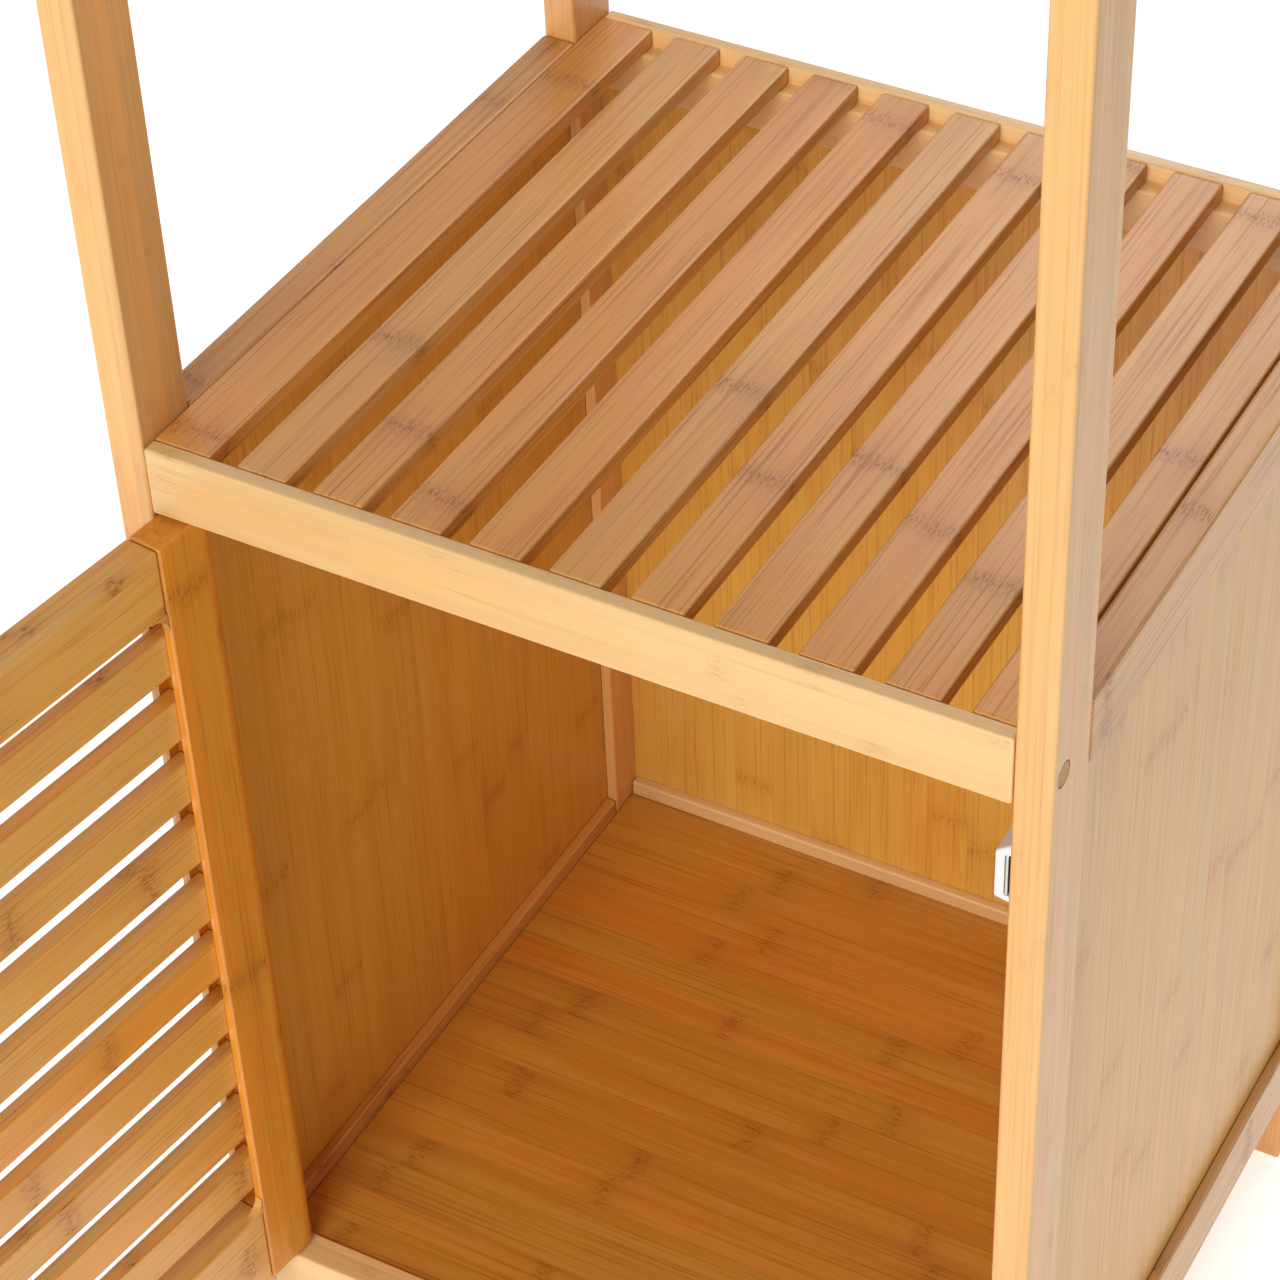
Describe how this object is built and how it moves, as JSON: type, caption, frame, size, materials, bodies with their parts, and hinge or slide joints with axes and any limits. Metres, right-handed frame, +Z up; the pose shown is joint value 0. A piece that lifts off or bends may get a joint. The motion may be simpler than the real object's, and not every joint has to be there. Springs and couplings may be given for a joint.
{
  "type": "bamboo storage tower with cabinet",
  "caption": "Free-standing bamboo storage tower: slatted open shelves between posts, over a panelled cabinet with a hinged louvred door.",
  "frame": {"origin": "centre of the underside of the front left post, on the floor", "axes": "+X from the left posts to the right posts, +Y from the open front to the back panel, +Z up"},
  "size_m": [0.4225, 0.6676, 1.18],
  "materials": {
    "frame_bamboo": "satin varnish",
    "shelf_bamboo": "satin varnish",
    "panel_bamboo": "satin varnish",
    "door_bamboo": "satin varnish",
    "plug_end_grain": "raw end grain",
    "white_plastic": "moulded",
    "magnet": "dull",
    "steel": "zinc plated"
  },
  "bodies": {
    "frame": {"back_panel": "panel_bamboo", "cabinet_floor": "panel_bamboo", "cabinet_top_front_rail": "frame_bamboo", "cabinet_top_left_rail": "shelf_bamboo", "cabinet_top_rear_rail": "frame_bamboo", "cabinet_top_right_rail": "shelf_bamboo", "cabinet_top_slat_01": "shelf_bamboo", "cabinet_top_slat_02": "shelf_bamboo", "cabinet_top_slat_03": "shelf_bamboo", "cabinet_top_slat_04": "shelf_bamboo", "cabinet_top_slat_05": "shelf_bamboo", "cabinet_top_slat_06": "shelf_bamboo", "cabinet_top_slat_07": "shelf_bamboo", "cabinet_top_slat_08": "shelf_bamboo", "cabinet_top_slat_09": "shelf_bamboo", "cabinet_top_slat_10": "shelf_bamboo", "cabinet_top_slat_11": "shelf_bamboo", "catch_housing": "white_plastic", "catch_magnet": "magnet", "door_lower_pivot_pin": "steel", "door_upper_pivot_pin": "steel", "front_left_post": "frame_bamboo", "front_left_screw_plug": "plug_end_grain", "front_right_post": "frame_bamboo", "front_right_screw_plug": "plug_end_grain", "left_side_panel": "panel_bamboo", "low_front_rail": "frame_bamboo", "low_left_rail": "shelf_bamboo", "low_rear_rail": "frame_bamboo", "low_right_rail": "shelf_bamboo", "middle_shelf_deck": "shelf_bamboo", "middle_shelf_left_rail": "shelf_bamboo", "middle_shelf_right_rail": "shelf_bamboo", "rear_left_post": "frame_bamboo", "rear_left_screw_plug": "plug_end_grain", "rear_right_post": "frame_bamboo", "rear_right_screw_plug": "plug_end_grain", "right_side_panel": "panel_bamboo", "top_shelf_deck": "shelf_bamboo", "top_shelf_left_rail": "shelf_bamboo", "top_shelf_right_rail": "shelf_bamboo"},
    "door": {"door_bottom_rail": "door_bamboo", "door_free_stile": "door_bamboo", "door_hinge_stile": "door_bamboo", "door_knob": "frame_bamboo", "door_knob_screw": "steel", "door_slat_01": "door_bamboo", "door_slat_02": "door_bamboo", "door_slat_03": "door_bamboo", "door_slat_04": "door_bamboo", "door_slat_05": "door_bamboo", "door_slat_06": "door_bamboo", "door_slat_07": "door_bamboo", "door_slat_08": "door_bamboo", "door_slat_09": "door_bamboo", "door_slat_10": "door_bamboo", "door_strike_plate": "steel", "door_top_rail": "door_bamboo"}
  },
  "joints": [
    {"name": "door_hinge", "type": "hinge", "parent": "frame", "child": "door", "pos_m": [0.0165, -0.0075, 0.2838], "axis": [0, 0, 1], "range_deg": [-2.5, 97.35]}
  ]
}
